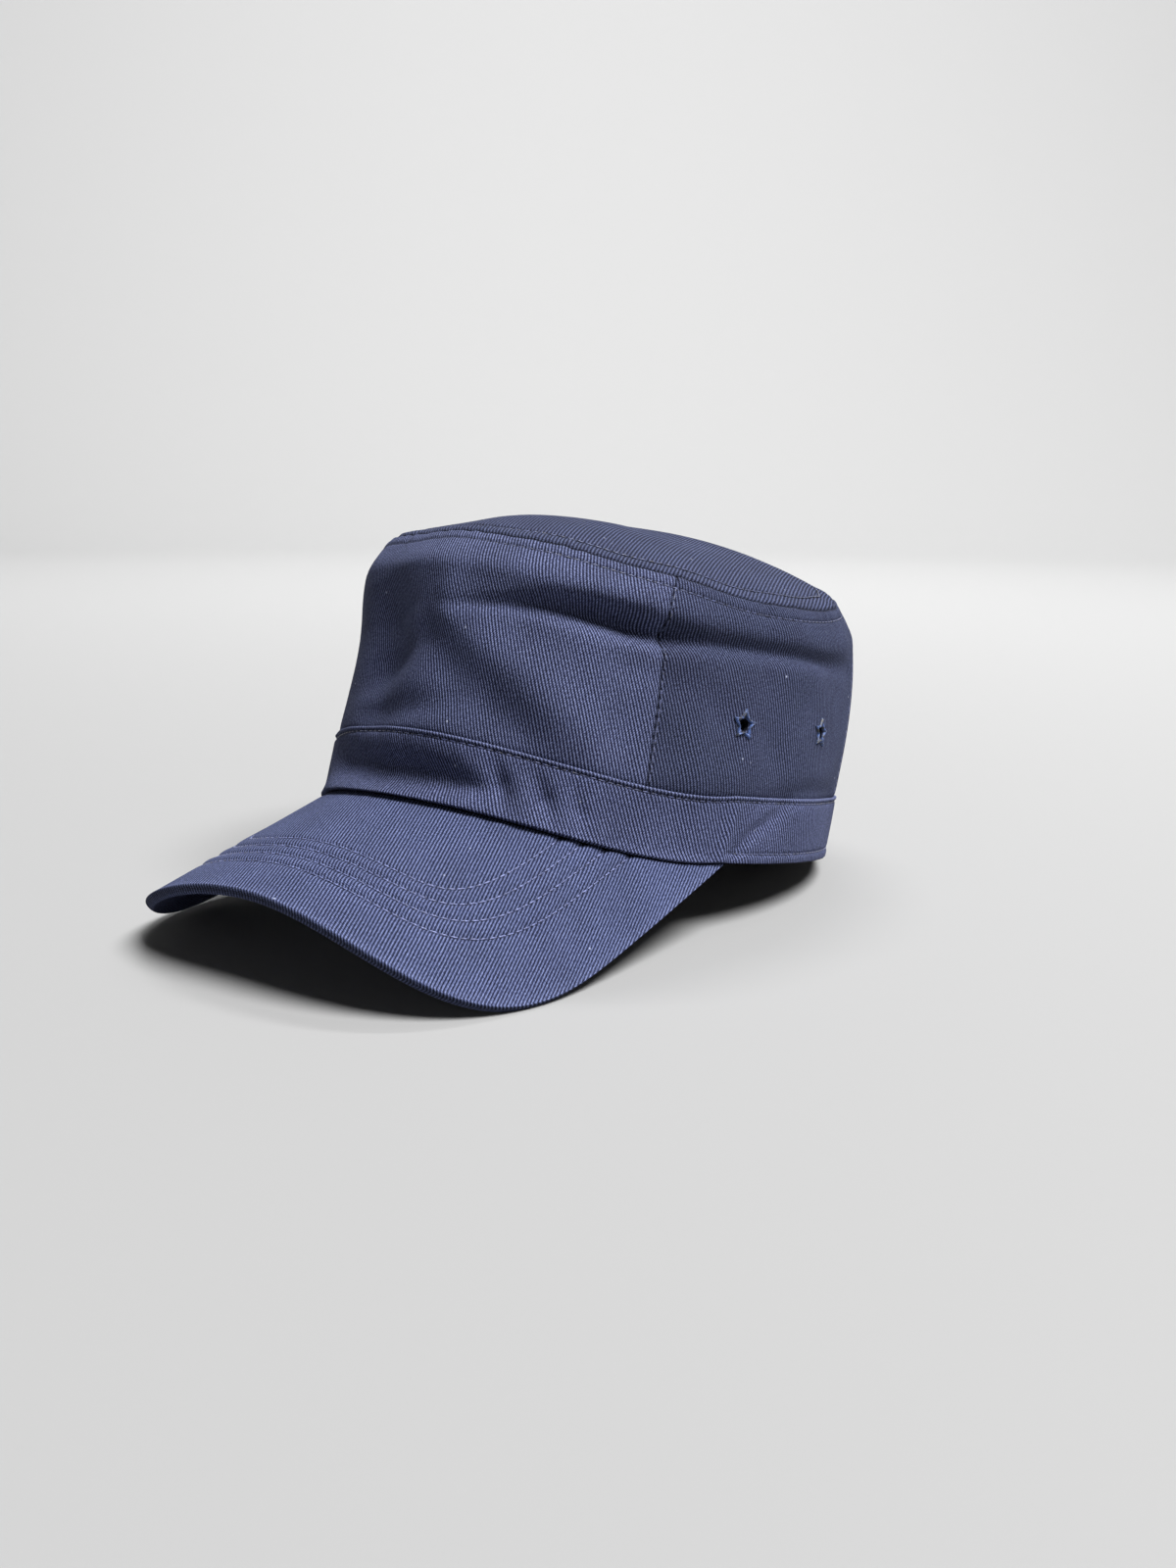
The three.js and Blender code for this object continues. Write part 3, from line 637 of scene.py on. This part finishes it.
top_angles = np.linspace(0, 360, top_columns, endpoint=False)
top_insets = even_steps(top_stops, top_rows)
spokes = crown_surface(top_angles, 1.0) - crown_surface(top_angles, near_centre)
edge_radius = np.linalg.norm(spokes[:, :2], axis=1)
top_share = np.minimum(top_insets[:, None] / edge_radius[None, :], 1)
blend = np.linspace(0, 1, len(top_insets))[:, None] ** 3
top_places = 1 + edge_gap + top_share * (1 - blend) + blend * last_ring
grid_angle = np.broadcast_to(top_angles, top_places.shape)
drops = (top_places - 1) * edge_radius[None, :]
lift = seam_relief(-crown_inset, drops, grid_angle, top_seam_row, top_groove, top_shoulder_reach)
flat = crown_surface(grid_angle, top_places)
across, along = flat[..., 0], flat[..., 1]
waves = math.prod(np.sin(across / side + along / back + start) for side, back, start in TOP_WAVES)
lift = lift + top_slack * waves * np.clip(drops / slack_start, 0, 1)
outer = cloth_points(grid_angle, top_places, lift)
inner = cloth_points(grid_angle, top_places, -crown_inset - cloth_thickness)
# The innermost ring of each wall is drawn together to one point.
outer[-1] = outer[-1].mean(axis=0)
inner[-1] = inner[-1].mean(axis=0)
# Painted shade darkens the top along the seam's ditch and its stitch groove.
rub_and_painted_shade = swell(drops, *ditch_shade) + swell(drops - top_seam_row, *top_row_shade)
crown_top = shell_object("crown_top_cloth", outer, inner, flat[..., :2].copy(), rub_and_painted_shade, True)
merge_doubles(crown_top)
crown_top.data.materials.append(cotton_twill("crown_top_twill", *top_colours, top_lean))
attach(crown_top, "root")
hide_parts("crown_top")

# Band
# A straight strip of twill goes round the foot of the crown, folded over at its top edge and stitched.
# In front it stands on the visor, and at the back it turns under and is stitched along its lower edge.
band_columns = 540
# Heights on the band, and the number of rows from each to the next.
band_stops, band_rows = (0, 5, 16, band_height), (15, 15, 17)
hem_lead, hem_blend = 2, 3
band_clearance, gap_start, gap_spread, least_gap = 0.7, 25, 45, 0.35
roll_height, top_row, hem_row, hem_fold = 20.5, 19.4, 3.0, 1.2
band_roll, top_row_groove = (0.3, 0.6), (-0.45, 0.5)
hem_groove, hem_roll, foot_flare = (-0.4, 0.6), (0.25, 1.2), (0.9, 2.2)
# Each row of puckers has a seed, a height on the band and a reach.
BAND_PUCKERS = ((7, top_row, 5), (9, 2, 4))
band_pucker_depth = 0.2
thin_start, thin_reach = 11, 5
# The band's top edge is rubbed lighter, and painted shade darkens the band along the top stitch groove.
band_edge_shade, band_row_shade = (0.4, 0.6), (-0.8, 0.45)
band_colours, band_lean = (crown_ground, "282c46", "70789c", "8189b0"), -25
band_angles = np.linspace(0, 360, band_columns, endpoint=False)
grid_angle, flat_height = np.meshgrid(band_angles, even_steps(band_stops, band_rows))
signed_angle = (grid_angle + 180) % 360 - 180
behind_visor = np.clip((np.abs(signed_angle) - visor_end_angle + hem_lead) / hem_blend, 0, 1)
# In front the outer wall stops a little above the visor, most on the wearer's left.
left_share = np.clip((signed_angle + gap_start) / gap_spread, least_gap, 1)
clearance = band_clearance * left_share * (1 - behind_visor)
grid_height = flat_height + clearance * (1 - flat_height / band_height) ** 3
band_places = grid_height / band_height * band_place
lift = swell(grid_height - roll_height, *band_roll) + swell(grid_height - top_row, *top_row_groove)
hem = swell(grid_height - hem_row, *hem_groove) + swell(grid_height - hem_fold, *hem_roll)
lift = lift + behind_visor * hem + (1 - behind_visor) * swell(grid_height, *foot_flare)
for seed, height, reach in BAND_PUCKERS:
    lift = lift + swell(grid_height - height, band_pucker_depth * puckers(grid_angle, seed), reach)
outer = cloth_points(grid_angle, band_places, lift)
thinning = np.clip((flat_height - thin_start) / thin_reach, 0, 1)
inner_lift = -cloth_thickness + (cloth_thickness - band_edge_thickness) * thinning
inner = cloth_points(grid_angle, flat_height / band_height * band_place, inner_lift)
weave = np.stack([grid_angle * around_per_degree, grid_height], axis=-1)
# Rubbed wear lightens the top edge, and painted shade darkens the top stitch groove.
rub_and_painted_shade = swell(grid_height - band_height, *band_edge_shade) + swell(grid_height - top_row, *band_row_shade)
band = shell_object("band_cloth", outer, inner, weave, rub_and_painted_shade, True)
band.data.materials.append(cotton_twill("band_twill", *band_colours, band_lean))
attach(band, "root")
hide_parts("band")

# Visor
# A stiff curved board covered in twill above and below, with its edge turned over.
# Its inner edge is sewn in under the band.
visor_half_width, visor_widest_reach, visor_tip_reach = 78.1, 81.3, 158.8
# Side 1 is the wearer's left and side -1 is the right, which is rounder in front.
visor_squareness = {1: 3.05, -1: 2.6}
visor_rear_pull = 0.43
visor_thickness, visor_tuck = 3.4, 3.0
seam_gap = 0.3
edge_roll = 1.0
visor_columns, visor_rows, nose_rows = 260, 92, 9
front_steps, sweep_steps, row_crowding = 400, 200, 0.9
least_length = 1e-6
visor_groove_depth, visor_groove_width, under_groove_depth = 0.6, 0.6, 0.3
quilt_lift = 0.25
arch_span, arch_steps = 90, 721
turned_start, turned_end = 0.3, 2.6
# The visor's edge is rubbed a little lighter. Its row shade and lip shade are painted shade in the stitch
# grooves and on the turned edge.
visor_edge_shade, visor_row_shade, lip_shade = (0.1, 1.6), 0.2, 0.65
visor_colours, visor_lean = ("080a15", "2a304c", "6d769b", "868eb6"), 24


def lengths_along(across, up):
    return np.concatenate([[0], np.cumsum(np.hypot(np.diff(across), np.diff(up)))])


def visor_outline(side, count):
    """Plan points along half of the visor's edge, evenly spaced from the tip to its end."""
    power = 2 / visor_squareness[side]
    turn = np.linspace(0, math.pi / 2, front_steps)
    across = visor_half_width * np.sin(turn) ** power
    front_reach = visor_tip_reach - visor_widest_reach
    reach = visor_widest_reach + front_reach * np.maximum(np.cos(turn), 0) ** power
    pull = visor_widest_reach + (visor_end_reach - visor_widest_reach) * visor_rear_pull
    share = np.linspace(0, 1, sweep_steps)[1:]
    sweep_across = (1 - share ** 2) * visor_half_width + share ** 2 * visor_end_across
    sweep_reach = (1 - share) ** 2 * visor_widest_reach + 2 * share * (1 - share) * pull
    sweep_reach = sweep_reach + share ** 2 * visor_end_reach
    across, reach = np.concatenate([across, sweep_across]), np.concatenate([reach, sweep_reach])
    length = lengths_along(across, reach)
    even = np.linspace(0, length[-1], count)
    return side * np.interp(even, length, across), np.interp(even, length, reach)


def visor_normal(across, reach):
    step = 0.5
    tilted = visor_height(across + step, reach) - visor_height(across - step, reach)
    falling = visor_height(across, reach + step) - visor_height(across, reach - step)
    return unit(np.stack([-tilted, falling, np.full_like(tilted, 2 * step)], axis=-1))


half = visor_columns // 2
right_edge, left_edge = visor_outline(-1, half + 1), visor_outline(1, half + 1)
edge_across = np.concatenate([right_edge[0][::-1], left_edge[0][1:]])
edge_reach = np.concatenate([right_edge[1][::-1], left_edge[1][1:]])
visor_angles = np.radians(np.linspace(-visor_end_angle, visor_end_angle, visor_columns + 1))
rim_across, rim_reach = rim_half_width * np.sin(visor_angles), rim_half_length * np.cos(visor_angles)

# Rows of stitching follow the edge, the first this far in and the others closer to the crown.
row_inset, row_spacing, row_count = 14.5, 4.75, 4
edge_points = np.stack([edge_across, edge_reach], axis=-1)


def edge_distance(across, reach):
    """Distance in plan from the visor's edge."""
    flat_points = np.stack([across.ravel(), reach.ravel()], axis=-1)
    nearest = np.full(len(flat_points), np.inf)
    for begin, finish in zip(edge_points[:-1], edge_points[1:]):
        run = finish - begin
        share = np.clip((flat_points - begin) @ run / (run @ run), 0, 1)
        nearest = np.minimum(nearest, np.linalg.norm(flat_points - begin - share[:, None] * run, axis=1))
    return nearest.reshape(across.shape)


shares = np.linspace(0, 1, visor_rows)[:, None] ** row_crowding
plan_across = rim_across + (edge_across - rim_across) * shares
plan_reach = rim_reach + (edge_reach - rim_reach) * shares
inset = edge_distance(plan_across, plan_reach)
row_insets = [row_inset + row_spacing * row for row in range(row_count)]
groove = sum(swell(inset - middle, 1, visor_groove_width) for middle in row_insets)
between_rows = (inset > row_inset) * (inset < row_insets[-1])
quilt = quilt_lift * np.sin((inset - row_inset) / row_spacing * math.pi) ** 2 * between_rows
top_lift = quilt - visor_groove_depth * groove - seam_gap
visor_top = np.stack([plan_across, -plan_reach, visor_height(plan_across, plan_reach)], axis=-1)
normals = visor_normal(plan_across, plan_reach)
upper = visor_top + normals * top_lift[..., None]
lower = visor_top - normals * (visor_thickness + seam_gap - under_groove_depth * groove)[..., None]
tuck_level = visor_height(rim_across, rim_reach) - seam_gap
tuck_across = rim_across - visor_tuck * np.sin(visor_angles)
tuck_reach = rim_reach - visor_tuck * np.cos(visor_angles)
tuck_top = np.stack([tuck_across, -tuck_reach, tuck_level], axis=-1)[None]
tuck_under = tuck_top - normals[:1] * visor_thickness
outward_plan = np.stack([edge_across - rim_across, -(edge_reach - rim_reach)], axis=-1)
outward_plan /= np.maximum(np.linalg.norm(outward_plan, axis=-1, keepdims=True), least_length)
outward_edge = np.concatenate([outward_plan, np.zeros((len(outward_plan), 1))], axis=1)
half_thick = visor_thickness / 2
edge_middle = visor_top[-1] - normals[-1] * (half_thick + seam_gap)
nose_top, nose_under = [], []
for turn in np.linspace(0, math.pi / 2, nose_rows)[1:]:
    rise = normals[-1] * half_thick * math.cos(turn)
    roll = outward_edge * edge_roll * math.sin(turn)
    nose_top.append(edge_middle + rise + roll)
    nose_under.append(edge_middle - rise + roll)
upper = np.concatenate([tuck_top, upper, np.array(nose_top)])
lower = np.concatenate([tuck_under, lower, np.array(nose_under)])
fine_across = np.linspace(-arch_span, arch_span, arch_steps)
fine_arch = lengths_along(fine_across, arch_drop(fine_across))
developed = np.interp(plan_across, fine_across, fine_arch)
weave = np.stack([developed, plan_reach / math.cos(visor_slope)], axis=-1)
turned = np.linspace(turned_start, turned_end, nose_rows - 1)[:, None, None] * np.array([0, 1.0])
weave = np.concatenate([weave[:1], weave, weave[-1:] + turned])
# The visor's edge is rubbed lighter, and painted shade darkens the stitch grooves and the turned edge
# towards its outermost rim.
visor_rub_and_painted_shade = swell(inset, *visor_edge_shade) - visor_row_shade * groove
lip_painted_shade = np.linspace(0, -lip_shade, nose_rows - 1)[:, None] * np.ones_like(visor_rub_and_painted_shade[:1])
rub_and_painted_shade = np.concatenate([visor_rub_and_painted_shade[:1], visor_rub_and_painted_shade, lip_painted_shade])
visor = shell_object("visor_cloth", upper[::-1], lower[::-1], weave[::-1], rub_and_painted_shade[::-1], False)
merge_doubles(visor)
visor.data.materials.append(cotton_twill("visor_twill", *visor_colours, visor_lean))
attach(visor, "root")
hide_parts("visor")

# Stitching
# Polyester thread in lockstitch runs along every seam, each stitch lying in a small groove.
# One node tree lays stitches along a path, and each sewn group becomes one mesh.
stitch_pitch, stitch_length, thread_width = 2.9, 2.5, 0.48
thread_finish = {"Roughness": 0.45, "Sheen Weight": 0.2}
strand_size = 0.0006
thread_lift = 0.1
row_samples, seam_samples, hem_samples = 541, 120, 320
side_row_turn, side_row_start, side_row_end, side_row_sink = 0.4, 0.27, 0.95, 0.1
band_row_sink, hem_row_sink, hem_row_start = 0.35, 0.2, 3
visor_row_sink, under_row_sink, row_end_margin = 0.3, 0.1, 1


def sewing_thread(name, colour, light, fleck):
    """Twisted thread: smoother than the cloth, with lighter strands and a soft shine."""
    material, tree, surface = new_material(name, thread_finish)
    place = node(tree, "ShaderNodeTexCoord").outputs["Object"]
    strands = node(tree, "ShaderNodeTexNoise", {
        "Vector": place, "Scale": 1 / fleck, "Detail": 2.0,
    }).outputs["Fac"]
    share = node(tree, "ShaderNodeMapRange", {
        "Value": strands, "From Min": 0.36, "From Max": 0.66,
    }).outputs["Result"]
    coloured = node(tree, "ShaderNodeMix", {
        0: share, 6: linear(colour), 7: linear(light),
    }, data_type="RGBA").outputs[2]
    bump = node(tree, "ShaderNodeBump", {
        "Height": strands, "Strength": 0.4, "Distance": 0.0001,
    }).outputs["Normal"]
    tree.links.new(coloured, surface.inputs["Base Color"])
    tree.links.new(bump, surface.inputs["Normal"])
    return material


def sewn_row_tree():
    """Node tree that lays stitches end to end along the edges of a path, flat on the cloth."""
    tree = bpy.data.node_groups.new("sewn_row", "GeometryNodeTree")
    sizes = [(name, "INPUT", "Float") for name in ("Stitch Pitch", "Stitch Length", "Thread Width")]
    ends = [("Thread", "INPUT", "Material"), ("Geometry", "OUTPUT", "Geometry")]
    for name, way, kind in [("Geometry", "INPUT", "Geometry"), *sizes, *ends]:
        tree.interface.new_socket(name, in_out=way, socket_type="NodeSocket" + kind)
    given = node(tree, "NodeGroupInput").outputs
    curve = node(tree, "GeometryNodeMeshToCurve", {"Mesh": given["Geometry"]}).outputs["Curve"]
    points = node(tree, "GeometryNodeCurveToPoints", {
        "Curve": curve, "Length": given["Stitch Pitch"],
    }, mode="LENGTH").outputs
    out = node(tree, "GeometryNodeInputNamedAttribute", {
        "Name": "face_out",
    }, data_type="FLOAT_VECTOR").outputs[0]
    along = node(tree, "FunctionNodeAlignRotationToVector", {
        "Vector": points["Tangent"],
    }, axis="X").outputs[0]
    lying = node(tree, "FunctionNodeAlignRotationToVector", {
        "Rotation": along, "Vector": out,
    }, axis="Z", pivot_axis="X").outputs[0]
    thread = node(tree, "GeometryNodeMeshUVSphere", {
        "Segments": 6, "Rings": 5, "Radius": 0.5,
    }).outputs["Mesh"]
    quarter = node(tree, "GeometryNodeTransform", {
        "Geometry": thread, "Rotation": (0, math.pi / 2, 0),
    }).outputs["Geometry"]
    size = node(tree, "ShaderNodeCombineXYZ", {
        "X": given["Stitch Length"], "Y": given["Thread Width"], "Z": given["Thread Width"],
    }).outputs[0]
    stitches = node(tree, "GeometryNodeInstanceOnPoints", {
        "Points": points["Points"], "Instance": quarter, "Rotation": lying, "Scale": size,
    }).outputs["Instances"]
    real = node(tree, "GeometryNodeRealizeInstances", {"Geometry": stitches}).outputs["Geometry"]
    dressed = node(tree, "GeometryNodeSetMaterial", {
        "Geometry": real, "Material": given["Thread"],
    }).outputs["Geometry"]
    node(tree, "NodeGroupOutput", {"Geometry": dressed})
    return tree


sewing = sewn_row_tree()


def sew(name, rows, thread):
    """Stitches along rows of points, given in millimetres with the cloth's outward direction at each."""
    points, edges, normals_out = [], [], []
    for path, directions in rows:
        first = len(points)
        ends = to_row(path)
        tips = to_row(path + directions)
        points.extend(ends.tolist())
        normals_out.extend(((tips - ends) * 1000).tolist())
        edges.extend((first + index, first + index + 1) for index in range(len(path) - 1))
    mesh = bpy.data.meshes.new(name)
    mesh.from_pydata(points, edges, [])
    out = mesh.attributes.new("face_out", "FLOAT_VECTOR", "POINT")
    out.data.foreach_set("vector", np.array(normals_out, dtype=np.float32).ravel())
    sewn = add_object(name, mesh)
    modifier = sewn.modifiers.new("sewing", "NODES")
    modifier.node_group = sewing
    values = {
        "Stitch Pitch": stitch_pitch / 1000,
        "Stitch Length": stitch_length / 1000,
        "Thread Width": thread_width / 1000,
        "Thread": thread,
    }
    for item in sewing.interface.items_tree:
        if item.in_out == "INPUT" and item.name in values:
            modifier[item.identifier] = values[item.name]
    keep_modified(sewn)
    smooth(sewn.data)
    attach(sewn, "root")


def crown_row(angles, places, lift):
    return cloth_points(angles, places, lift), outward(angles, places)


row_angles = np.linspace(0, 360, row_samples)
wall_places, wall_drops = wall_rows(row_angles)
side_places = np.array([
    np.interp(seam_row, drops[::-1], places[::-1]) for drops, places in zip(wall_drops.T, wall_places.T)
])
row_radius = np.interp(row_angles, top_angles, edge_radius, period=360)
edge_places = 1 + top_seam_row / row_radius
side_lift = -crown_inset + seam_groove[0] + swell(seam_row / 2, *seam_welt) + thread_lift
navy_thread = sewing_thread("navy_polyester_thread", "0e1226", "4a527e", strand_size)
crown_rows = [
    crown_row(row_angles, side_places, side_lift),
    crown_row(row_angles, edge_places, side_lift),
]
seam_places = np.linspace(side_row_start, side_row_end, seam_samples)
for _, start, *_ in PANELS:
    side_seam = crown_row(start + side_row_turn, seam_places, -crown_depth(seam_places) - side_row_sink)
    crown_rows.append(side_seam)
sew("crown_stitches", crown_rows, navy_thread)

hem_start = visor_end_angle + hem_row_start
hem_angles = np.linspace(hem_start, 360 - hem_start, hem_samples)
sew("band_stitches", [
    crown_row(row_angles, top_row / band_height * band_place, -band_row_sink),
    crown_row(hem_angles, hem_row / band_height * band_place, -hem_row_sink),
], navy_thread)

# The visor's rows use the same navy thread as the crown, coloured lighter as a painted sheen.
navy_thread_painted_sheen = sewing_thread("navy_polyester_thread_painted_sheen", "20264a", "757eae", strand_size)
visor_rows_sewn = []
for wanted in row_insets:
    columns = np.flatnonzero(inset[0] > wanted + row_end_margin)
    path_across, path_reach = (
        np.array([np.interp(wanted, inset[::-1, index], plan[::-1, index]) for index in columns])
        for plan in (plan_across, plan_reach)
    )
    top_points = np.stack([path_across, -path_reach, visor_height(path_across, path_reach)], axis=-1)
    top_normals = visor_normal(path_across, path_reach)
    under_depth = visor_thickness + seam_gap - under_row_sink
    visor_rows_sewn.append((top_points + top_normals * (-seam_gap - visor_row_sink), top_normals))
    visor_rows_sewn.append((top_points - top_normals * under_depth, -top_normals))
sew("visor_stitches", visor_rows_sewn, navy_thread_painted_sheen)

# Star eyelets
# Each vent is overcast with shiny thread that fans out from the hole to a five-pointed star.
# The threads lie side by side, so the star has fine ridges that run outwards.
star_reach, star_valley, star_points = 5.2, 2.75, 5
star_thickness, star_threads = 0.8, 60
star_columns, star_rings = 360, 12
hole_margin, leg_opening = 0.1, 0.45
thread_ridge, rise_start, rise_span = 0.09, 0.12, 0.76
under_lift, hole_turn_in = 0.02, 1.2
star_strand_size = 0.0016


def star_edge(turn):
    """Distance from a star's centre to its outline."""
    part = math.pi / star_points
    local = np.abs((turn - math.pi / 2 + part) % (2 * part) - part)
    tip, notch = np.array([star_reach, 0]), star_valley * np.array([math.cos(part), math.sin(part)])
    run = notch - tip
    ray = np.stack([np.cos(local), np.sin(local)], axis=-1)
    return (tip[0] * run[1] - tip[1] * run[0]) / (ray[..., 0] * run[1] - ray[..., 1] * run[0])


star_thread = sewing_thread("blue_rayon_thread", "020407", "35528e", star_strand_size)
STARS = [
    ("eyelet_left_front", star_angles[0]),
    ("eyelet_left_back", star_angles[1]),
    ("eyelet_right_front", -star_angles[0]),
    ("eyelet_right_back", -star_angles[1]),
]
for name, angle in STARS:
    turn = np.linspace(0, 2 * math.pi, star_columns, endpoint=False)
    share = np.linspace(0, 1, star_rings)[:, None]
    inner_edge = (vent_radius + hole_margin + leg_opening * (star_edge(turn) - star_valley))[None, :]
    radius = inner_edge + (star_edge(turn)[None, :] - inner_edge) * share
    ridge = thread_ridge * np.cos(turn * star_threads)[None, :] * np.sin(share * math.pi) ** 0.5
    rise = star_thickness * np.sin((rise_start + rise_span * share) * math.pi) + ridge
    across, up = radius * np.cos(turn), radius * np.sin(turn)
    flat_star = np.stack([across, up, rise], axis=-1)
    under_star = np.stack([across, up, np.full_like(radius, under_lift)], axis=-1)
    under_star[0, :, 2] = -hole_turn_in
    place = np.array(star_place(angle))
    points = np.concatenate([flat_star.reshape(-1, 3), under_star.reshape(-1, 3)]) / 1000
    points = points @ place[:3, :3].T + place[:3, 3]
    # A star's rings run outwards, so its faces are turned round to look out of the cloth.
    faces = shell_faces(star_rings, star_columns, True)[:, [0, 3, 2, 1]]
    mesh = bpy.data.meshes.new(name + "_thread")
    mesh.from_pydata(points.tolist(), [], faces.tolist())
    smooth(mesh)
    mesh.materials.append(star_thread)
    eyelet = add_object(name + "_thread", mesh)
    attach(eyelet, "root")
    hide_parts(name)

# Floor and light
# A plain pale floor that turns up into a wall all round.
# One large soft light shines from the wearer's left, with two weaker ones behind and a dim surround.
floor_radius, wall_bend, wall_top, bend_steps = 2.0, 1.2, 1.5, 16
bend = [math.pi / 2 * step / bend_steps for step in range(bend_steps + 1)]
floor_profile = [
    (floor_radius + wall_bend * math.sin(turn), wall_bend * (1 - math.cos(turn))) for turn in bend
]
floor_profile.append((floor_radius + wall_bend, wall_top))
floor_segments = 72
floor_mesh = bpy.data.meshes.new("floor")
floor_points = []
for radius, height in floor_profile:
    for step in range(floor_segments):
        turn = 2 * math.pi * step / floor_segments
        floor_points.append((radius * math.cos(turn), radius * math.sin(turn), height))
rings = np.arange(len(floor_points)).reshape(-1, floor_segments)
after = np.roll(rings, -1, axis=1)
floor_faces = [rings[0].tolist(), *quads(rings[:-1], rings[1:], after[1:], after[:-1]).tolist()]
floor_mesh.from_pydata(floor_points, [], floor_faces)
smooth(floor_mesh)
floor = add_object("floor", floor_mesh)
floor_finish = {"Base Color": linear("878787"), "Roughness": 0.9}
floor_mesh.materials.append(new_material("pale_matt_floor", floor_finish)[0])

world = bpy.data.worlds.new("studio")
world.use_nodes = True
surround = world.node_tree.nodes["Background"].inputs
surround["Color"].default_value = linear("faf6f0")
surround["Strength"].default_value = 0.02
bpy.context.scene.world = world
bpy.context.scene.view_settings.view_transform = "Standard"

# Each row is a light: its turn round from the front and its rise in degrees, its distance from the cap and
# its size in metres, its power in watts, and the spot that it is turned to.
# The last one only brightens the wall behind.
cap_spot, wall_spot = Vector((0, 0, 0.06)), Vector((-1.7, 2.4, 0.5))
LIGHTS = [
    ("key_light", 88, 61, 3.2, 1.8, 280, cap_spot),
    ("rim_light", 165, 60, 3.2, 1.2, 12, cap_spot),
    ("backdrop_light", 216, 60, 2.4, 1.0, 115, wall_spot),
]
for name, turn, rise, distance, size, power, spot in LIGHTS:
    lamp = bpy.data.lights.new(name, "AREA")
    lamp.shape = "DISK"
    lamp.size = size
    lamp.energy = power
    light = add_object(name, lamp)
    around, up = math.radians(turn), math.radians(rise)
    level = math.cos(up) * distance
    offset = (math.sin(around) * level, -math.cos(around) * level, math.sin(up) * distance)
    light.location = cap_spot + Vector(offset)
    light.rotation_euler = (spot - light.location).to_track_quat("-Z", "Y").to_euler()

# Camera
# It stands low in front of the wearer's left side, as the photograph was taken.
# Its lens, place and turns were fitted to the cap's outline, in pixels, millimetres and degrees.
image_height, focal_pixels, sensor = 1600, 1643.9, 36.0
camera_turn, camera_distance, camera_rise = math.radians(36.12), 557.5, 129.5
camera_yaw, camera_pitch, camera_roll = math.radians(-0.2), math.radians(11.5), math.radians(0.52)
lens = bpy.data.cameras.new("camera")
lens.sensor_fit = "VERTICAL"
lens.sensor_height = sensor
lens.lens = focal_pixels / image_height * sensor
lens.clip_start = 0.01
camera = add_object("camera", lens)
place = Vector((
    math.sin(camera_turn) * camera_distance,
    -math.cos(camera_turn) * camera_distance + centre_shift,
    camera_rise + floor_drop,
)) / 1000
heading = camera_turn + camera_yaw
level = Vector((-math.sin(heading), math.cos(heading), 0))
right = Vector((math.cos(heading), math.sin(heading), 0))
ahead = level * math.cos(camera_pitch) - Vector((0, 0, 1)) * math.sin(camera_pitch)
above = level * math.sin(camera_pitch) + Vector((0, 0, 1)) * math.cos(camera_pitch)
rolled_right = right * math.cos(camera_roll) + above * math.sin(camera_roll)
rolled_above = above * math.cos(camera_roll) - right * math.sin(camera_roll)
view = Matrix((rolled_right, rolled_above, -ahead)).transposed().to_4x4()
camera.matrix_world = Matrix.Translation(place) @ view
bpy.context.scene.camera = camera
